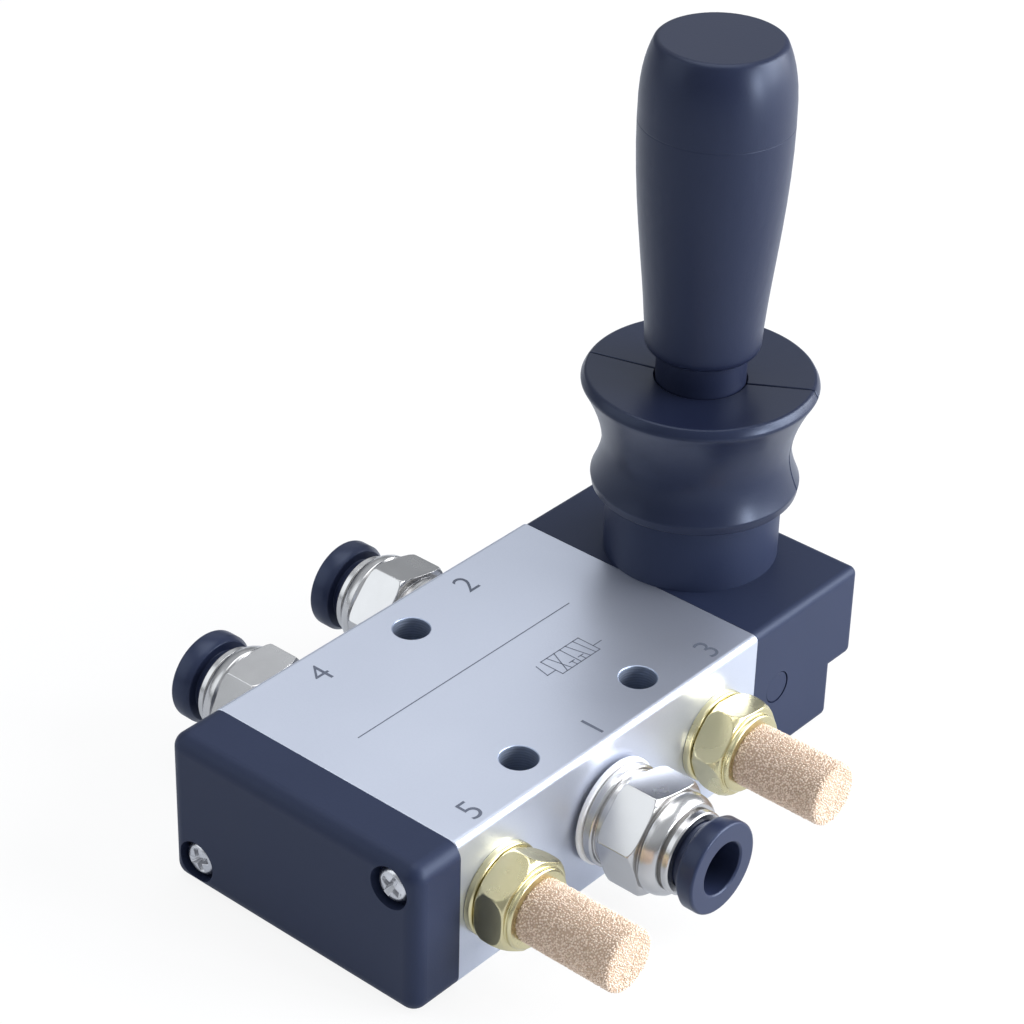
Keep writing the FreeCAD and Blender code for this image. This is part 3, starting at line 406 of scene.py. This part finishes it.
def dress(finish, *nodes):
    """Give CAD nodes that stay as they are a finish."""
    for node in nodes:
        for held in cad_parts[node].material_slots:
            held.material = finish


dress(moulded, "end_cap", "lever_housing", "detent_plug", "pivot_cap")


# Fixing screws: bright zinc plated pan head screws with a cross recess, two through the end cap
# and two through the housing. One screw is turned and pressed here, and nodes set it four times.
head, shank, crown, length = 2.15, 1.1, 1.3, 9.0
under_head, tip = 0.1, 0.3
screw_edge, screw_corner = 0.05, 38


def turned(name, profile, steps=64):
    """A mesh turned round the Z axis from points of radius and height, its faces in a set order."""
    work = bmesh.new()
    points = [work.verts.new((radius * MM, 0, height * MM)) for radius, height in profile]
    lines = [work.edges.new(pair) for pair in zip(points, points[1:])]
    bmesh.ops.spin(work, geom=points + lines, axis=(0, 0, 1), cent=(0, 0, 0), angle=math.tau,
                   steps=steps, use_merge=True)
    bmesh.ops.remove_doubles(work, verts=work.verts, dist=1e-7)
    bmesh.ops.recalc_face_normals(work, faces=work.faces)
    work.verts.index_update()
    faces = sorted([corner.index for corner in face.verts] for face in work.faces)
    mesh = bpy.data.meshes.new(name)
    mesh.from_pydata([corner.co for corner in work.verts], [], faces)
    work.free()
    mesh.shade_smooth()
    return mesh


def shape_tree(name, **kinds):
    """A new tree of shape nodes with named inputs, and a wire for each input."""
    tree = bpy.data.node_groups.new(name, "GeometryNodeTree")
    for label, kind in {"Geometry": "Geometry", **kinds, "Finish": "Material"}.items():
        tree.interface.new_socket(label, in_out="INPUT", socket_type=f"NodeSocket{kind}")
    tree.interface.new_socket("Geometry", in_out="OUTPUT", socket_type="NodeSocketGeometry")
    entry = tree.nodes.new("NodeGroupInput")
    return tree, [Wire(tree, socket) for socket in entry.outputs if socket.name]


def close_tree(shape, finish):
    """End a tree of shape nodes: real meshes, in one finish."""
    real = shape.node("GeometryNodeRealizeInstances", {}, {"Geometry": shape})
    done = real.node("GeometryNodeSetMaterial", {}, {"Geometry": real, "Material": finish})
    done.node("NodeGroupOutput", {}, {"Geometry": done})


def grown(name, mesh, tree, **given):
    """Run a tree on a mesh with its named inputs set, and keep the plain result."""
    made = placed(name, mesh)
    modifier = made.modifiers.new(tree.name, "NODES")
    modifier.node_group = tree
    for item in tree.interface.items_tree:
        if item.in_out == "INPUT" and item.name in given:
            modifier[item.identifier] = given[item.name]
    return settled(made)


profile = [(0, -length), (shank - tip, -length), (shank, -length + tip), (shank, 0),
           (head - under_head, 0), (head, under_head)]
for turn in range(12, 90, 12):
    lean = math.radians(turn)
    profile.append((head * math.cos(lean) ** 0.45, under_head + (crown - under_head) * math.sin(lean)))
screw = placed("one_screw", turned("one_screw", profile + [(0, crown)]))

blade_sizes = {True: (3.5, 0.85, crown + 0.2), False: (1.3, 0.45, crown - 0.9)}
blades = bmesh.new()
for quarter in (0, 90):
    blade = bmesh.ops.create_cube(blades, size=1.0)["verts"]
    for corner in blade:
        long, wide, high = blade_sizes[corner.co.z > 0]
        corner.co = Vector((corner.co.x * long, corner.co.y * wide, high)) * MM
    bmesh.ops.rotate(blades, verts=blade, matrix=Matrix.Rotation(math.radians(quarter), 3, "Z"))
punch = placed("cross_punch", bpy.data.meshes.new("cross_punch"))
blades.to_mesh(punch.data)
blades.free()
recess = screw.modifiers.new("cross_recess", "BOOLEAN")
recess.object = punch
recess.solver = "EXACT"
recess.use_self = True
settled(screw)
bpy.data.objects.remove(punch)
soften(screw, screw_edge, screw_corner)

zinc, place = new_coat("bright_zinc")
bloom = mottled(place, 1500.0, 3.0)
coat_with(place, bloom.tint(dark=(0.5, 0.5, 0.51), light=(0.74, 0.74, 0.76)),
          0.2 + bloom * 0.2, metal=1.0, height=bloom, relief=0.006)

tree, (points, one, finish) = shape_tree("screws_set", Screw="Object")
lean = points.node("GeometryNodeInputNamedAttribute", {"data_type": "FLOAT_VECTOR"}, {"Name": "lean"})
shape = points.node("GeometryNodeObjectInfo", {"transform_space": "ORIGINAL"}, {"Object": one},
                    out="Geometry")
set_screws = points.node("GeometryNodeInstanceOnPoints", {},
                         {"Points": points, "Instance": shape, "Rotation": lean})
close_tree(set_screws, finish)

spots, leans = [], []
for node, way in (("end_cap_screws", -1), ("housing_screws", 1)):
    for side, turn in ((-1, 62), (1, 20)):
        near = [spot.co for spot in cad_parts[node].data.vertices if spot.co.y * side > 0]
        y, z = [(min(line) + max(line)) / 2 for line in zip(*[corner.yz for corner in near])]
        spots.append((way * (max(way * corner.x for corner in near) - crown * MM), y, z))
        outwards = Matrix.Rotation(way * math.pi / 2, 3, "Y")
        leans += (outwards @ Matrix.Rotation(math.radians(turn), 3, "Z")).to_euler()
places = bpy.data.meshes.new("screw_places")
places.from_pydata(spots, [], [])
places.attributes.new("lean", "FLOAT_VECTOR", "POINT").data.foreach_set("vector", leans)
screws = grown("fixing_screws", places, tree, Screw=screw, Finish=zinc)
bpy.data.objects.remove(screw)
stands_for(screws, "valve", "zinc_steel", zinc, "end_cap_screws", "housing_screws")


# Collar and grip: the collar's two halves are moulded in the same nylon and pushed together
# round the grip's foot. The grip is smoother, with a faint line where its mould parted.
def smoothed(name, node, body, slot, finish, broken, corner=35):
    """A CAD node's shape with its sharp corners broken, in place of that node."""
    return stands_for(soften(placed(name, merged(node)), broken, corner), body, slot, finish, node)


collar_edge, grip_edge = 0.12, 0.15
cased, place = new_coat("collar_nylon")
grain = mottled(place, 4800.0)
flow = mottled(place, 70.0, 3.0)
# Its colour is darker than the end cap's nylon, though the material is the same: painted shade.
coat_with(place, (flow * 0.6 + grain * 0.4).tint(dark=(0.007, 0.01, 0.026), light=(0.012, 0.016, 0.038)),
          0.27 + flow * 0.1, height=grain, relief=0.006, Specular_IOR_Level=0.4, Specular_Tint=cool)
smoothed("collar_front", "collar_front_half", "lever", "collar_plastic", cased, collar_edge, corner=30)
smoothed("collar_rear", "collar_rear_half", "lever", "collar_plastic", cased, collar_edge, corner=30)

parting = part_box("grip")[1][2] - 9.5 * MM
handled, place = new_coat("grip_nylon")
above = place.node("ShaderNodeSeparateXYZ", {}, {"Vector": place}, out="Z")
grain = mottled(place, 4200.0)
flow = mottled(place, 55.0, 3.0)
away = place.node("ShaderNodeMath", {"operation": "ABSOLUTE"}, {0: above - parting})
line = place.node("ShaderNodeMapRange", {"interpolation_type": "SMOOTHSTEP"},
                  {"Value": away, "From Min": 0.02 * MM, "From Max": 0.12 * MM,
                   "To Min": 1.0, "To Max": 0.0})
# The grip's colour is darker than the end cap's nylon too: painted shade.
coat_with(place, (flow * 0.7 + grain * 0.3).tint(dark=(0.008, 0.011, 0.028), light=(0.013, 0.017, 0.04)),
          0.31 + flow * 0.1 + line * 0.15, height=grain * 0.3 - line, relief=0.02,
          Specular_IOR_Level=0.35, Specular_Tint=cool)
smoothed("lever_grip", "grip", "lever", "grip_plastic", handled, grip_edge, corner=25)


# Push-in fittings: nickel plated turned brass with a hexagon, a white nylon washer under the
# flange and a dark release ring in the mouth, with a steel collet and a rubber seal inside.
fitting_edge, washer_edge, ring_edge = 0.07, 0.12, 0.06
bore, sleeve, outside, thick, lip = 3.1, 3.9, 5.45, 2.5, 0.35
back_in, back_up, mouth = 0.5, 0.7, 0.2

plated, place = new_coat("nickel_plate")
cloud = mottled(place, 260.0, 3.0)
fine = mottled(place, 3000.0)
coat_with(place, cloud.tint(dark=(0.5, 0.49, 0.48), light=(0.6, 0.59, 0.58)),
          0.22 + cloud * 0.08, metal=1.0, height=fine, relief=0.002)

white, place = new_coat("washer_nylon")
haze = mottled(place, 900.0, 3.0)
coat_with(place, haze.tint(dark=(0.78, 0.78, 0.8), light=(0.86, 0.86, 0.88)),
          0.42 + haze * 0.1, height=haze, relief=0.01)

pressed, place = new_coat("release_ring_acetal")
flow = mottled(place, 300.0, 3.0)
coat_with(place, flow.tint(dark=(0.012, 0.017, 0.042), light=(0.02, 0.026, 0.058)),
          0.28 + flow * 0.12, height=flow, relief=0.01, Specular_IOR_Level=0.4, Specular_Tint=cool)

rubber, place = new_coat("nitrile_rubber")
dust = mottled(place, 2500.0, 3.0)
coat_with(place, dust.tint(dark=(0.012, 0.012, 0.013), light=(0.03, 0.03, 0.032)),
          0.55 + dust * 0.2, height=dust, relief=0.01)

steel, place = new_coat("turned_steel")
lines = mottled(place, 1800.0, 3.0)
coat_with(place, lines.tint(dark=(0.42, 0.43, 0.45), light=(0.62, 0.63, 0.65)),
          0.25 + lines * 0.15, metal=1.0, height=lines, relief=0.004)


def rounded_end(radius, deep, edge):
    """Points round the outer edge of a turned piece's end, from its side inwards."""
    turns = [math.radians(turn) for turn in range(90, -1, -15)]
    return [(radius - edge + edge * math.sin(turn), deep - edge + edge * math.cos(turn))
            for turn in turns]


def laid_in(mesh, lowest, highest, side):
    """Lay a turned mesh along Y in the middle of a box, from its inner end outwards."""
    inner = Vector(((lowest[0] + highest[0]) / 2, lowest[1] if side > 0 else highest[1],
                    (lowest[2] + highest[2]) / 2))
    mesh.transform(Matrix.Translation(inner) @ Matrix.Rotation(-side * math.pi / 2, 4, "X"))


for letter, side in (("a", 1), ("b", 1), ("p", -1)):
    smoothed(f"fitting_{letter}", f"fitting_body_{letter}", "valve", "nickel", plated,
             fitting_edge, corner=22)
    smoothed(f"washer_{letter}", f"fitting_washer_{letter}", "valve", "seal_washer", white, washer_edge)
    lowest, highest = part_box(f"release_ring_{letter}")
    deep = (highest[1] - lowest[1]) / MM
    back = deep - thick
    profile = [(bore, 0), (sleeve, 0), (sleeve, back), (outside - back_in, back), (outside, back + back_up),
               *rounded_end(outside, deep, lip), (bore + mouth, deep), (bore, deep - mouth), (bore, 0)]
    ring = turned(f"push_ring_{letter}", profile)
    laid_in(ring, lowest, highest, side)
    stands_for(soften(placed(ring.name, ring), ring_edge, corner=40), f"release_ring_{letter}",
               "release_plastic", pressed, f"release_ring_{letter}")
    dress(rubber, f"tube_seal_{letter}")
    dress(steel, f"collet_{letter}")


# Silencers: a pale turned brass hexagon on the body, with a thimble of sintered bronze grains
# pressed in, at S a little deeper. Nodes set the grains evenly and partly sunk on its outside.
nut_edge = 0.09
radius, sunk, side_start, end_edge, rounds = 3.6, 0.17, 4.2, 0.4, 96
spacing, grain_radius = 0.19, 0.13

brass, place = new_coat("pale_brass")
cloud = mottled(place, 240.0, 3.0)
drawn = mottled(place, 2600.0)
coat_with(place, cloud.tint(dark=(0.58, 0.52, 0.29), light=(0.73, 0.66, 0.41)),
          0.22 + cloud * 0.12, metal=1.0, height=drawn, relief=0.004)

bronze, place = new_coat("sintered_bronze")
tone = place.node("ShaderNodeAttribute", {"attribute_name": "tone"}, out="Fac")
cells = place.node("ShaderNodeTexVoronoi", {"feature": "F1"}, {"Vector": place, "Scale": 5200.0})
# The first stop is painted shade of the pores: it colours the skin between the grains, which has no tone,
# and the few grains of lowest tone; the other stops are the grains' random tone.
grain_tones_and_pore_shade = ((0.0, (0.48, 0.34, 0.24)), (0.08, (0.62, 0.485, 0.365)),
         (0.4, (0.74, 0.6, 0.48)), (1.0, (0.81, 0.67, 0.55)))
baked = place.node("ShaderNodeValToRGB", {"stops": grain_tones_and_pore_shade}, {"Fac": tone})
coat_with(place, baked, 0.5 + tone * 0.15, metal=0.15, height=1.0 - cells, relief=0.02)

tree, (skin, apart, size, finish) = shape_tree("sintered_grains", Spacing="Float", Grain="Float")
spread = skin.node("GeometryNodeDistributePointsOnFaces", {"distribute_method": "POISSON"},
                   {"Mesh": skin, "Distance Min": apart, "Density Max": 4.0e7, "Seed": 7})
ball = skin.node("GeometryNodeMeshIcoSphere", {}, {"Radius": size, "Subdivisions": 1})
ball = ball.node("GeometryNodeSetShadeSmooth", {}, {"Geometry": ball})
bulk = skin.node("FunctionNodeRandomValue", {"data_type": "FLOAT"}, {2: 0.75, 3: 1.2, "Seed": 11}, out=1)
shade = skin.node("FunctionNodeRandomValue", {"data_type": "FLOAT"}, {2: 0.0, 3: 1.0, "Seed": 23}, out=1)
whole_turn = (6.28, 6.28, 6.28)
turn = skin.node("FunctionNodeRandomValue", {"data_type": "FLOAT_VECTOR"}, {1: whole_turn, "Seed": 5})
grains = skin.node("GeometryNodeInstanceOnPoints", {},
                   {"Points": spread, "Instance": ball, "Scale": bulk, "Rotation": turn})
grains = skin.node("GeometryNodeStoreNamedAttribute", {"data_type": "FLOAT", "domain": "INSTANCE"},
                   {"Geometry": grains, "Name": "tone", "Value": shade})
both = skin.node("GeometryNodeJoinGeometry", {}, {"Geometry": [skin, grains]})
close_tree(both, finish)

for letter, deeper in (("r", 0.0), ("s", 1.0)):
    smoothed(f"silencer_{letter}", f"silencer_nut_{letter}", "valve", "nut_brass", brass,
             nut_edge, corner=20)
    lowest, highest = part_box(f"silencer_element_{letter}")
    deep = (highest[1] - lowest[1]) / MM - sunk - deeper
    profile = [(radius, 0), (radius, side_start), *rounded_end(radius, deep, end_edge), (0, deep)]
    thimble = turned(f"thimble_{letter}", profile, rounds)
    laid_in(thimble, lowest, highest, -1)
    grainy = grown(f"silencer_thimble_{letter}", thimble, tree,
                   Spacing=spacing * MM, Grain=grain_radius * MM, Finish=bronze)
    stands_for(grainy, "valve", "sintered_bronze", bronze, f"silencer_element_{letter}")


# Inside parts, mostly hidden: the steel lever rod with its balls and cross pin, the acetal seat,
# the aluminium spool with rubber seals, the detent's ball and spring, and the grip's brass insert.
acetal, place = new_coat("natural_acetal")
haze = mottled(place, 500.0, 3.0)
coat_with(place, haze.tint(dark=(0.68, 0.68, 0.62), light=(0.78, 0.78, 0.74)),
          0.35 + haze * 0.1, height=haze, relief=0.01)

polished, place = new_coat("polished_steel")
haze = mottled(place, 1200.0)
coat_with(place, haze.tint(dark=(0.6, 0.6, 0.62), light=(0.72, 0.72, 0.74)),
          0.08 + haze * 0.1, metal=1.0, height=haze, relief=0.002)

slid, place = new_coat("turned_aluminium")
feed = tool_marks(place, "X", 1500.0, 0.4)
coat_with(place, feed.tint(dark=(0.62, 0.63, 0.66), light=(0.74, 0.75, 0.78)),
          0.2 + feed * 0.1, metal=1.0, height=feed, relief=0.003)

yellow, place = new_coat("insert_brass")
feed = tool_marks(place, "Z", 1200.0, 0.5)
coat_with(place, feed.tint(dark=(0.62, 0.5, 0.24), light=(0.76, 0.63, 0.34)),
          0.25 + feed * 0.1, metal=1.0, height=feed, relief=0.004)

dress(acetal, "pivot_seat")
dress(polished, "pivot_pin", "detent_ball")
dress(steel, "lever_rod", "detent_spring")
dress(slid, "spool")
dress(rubber, "spool_seals", "spool_end_seals")
dress(yellow, "grip_insert")
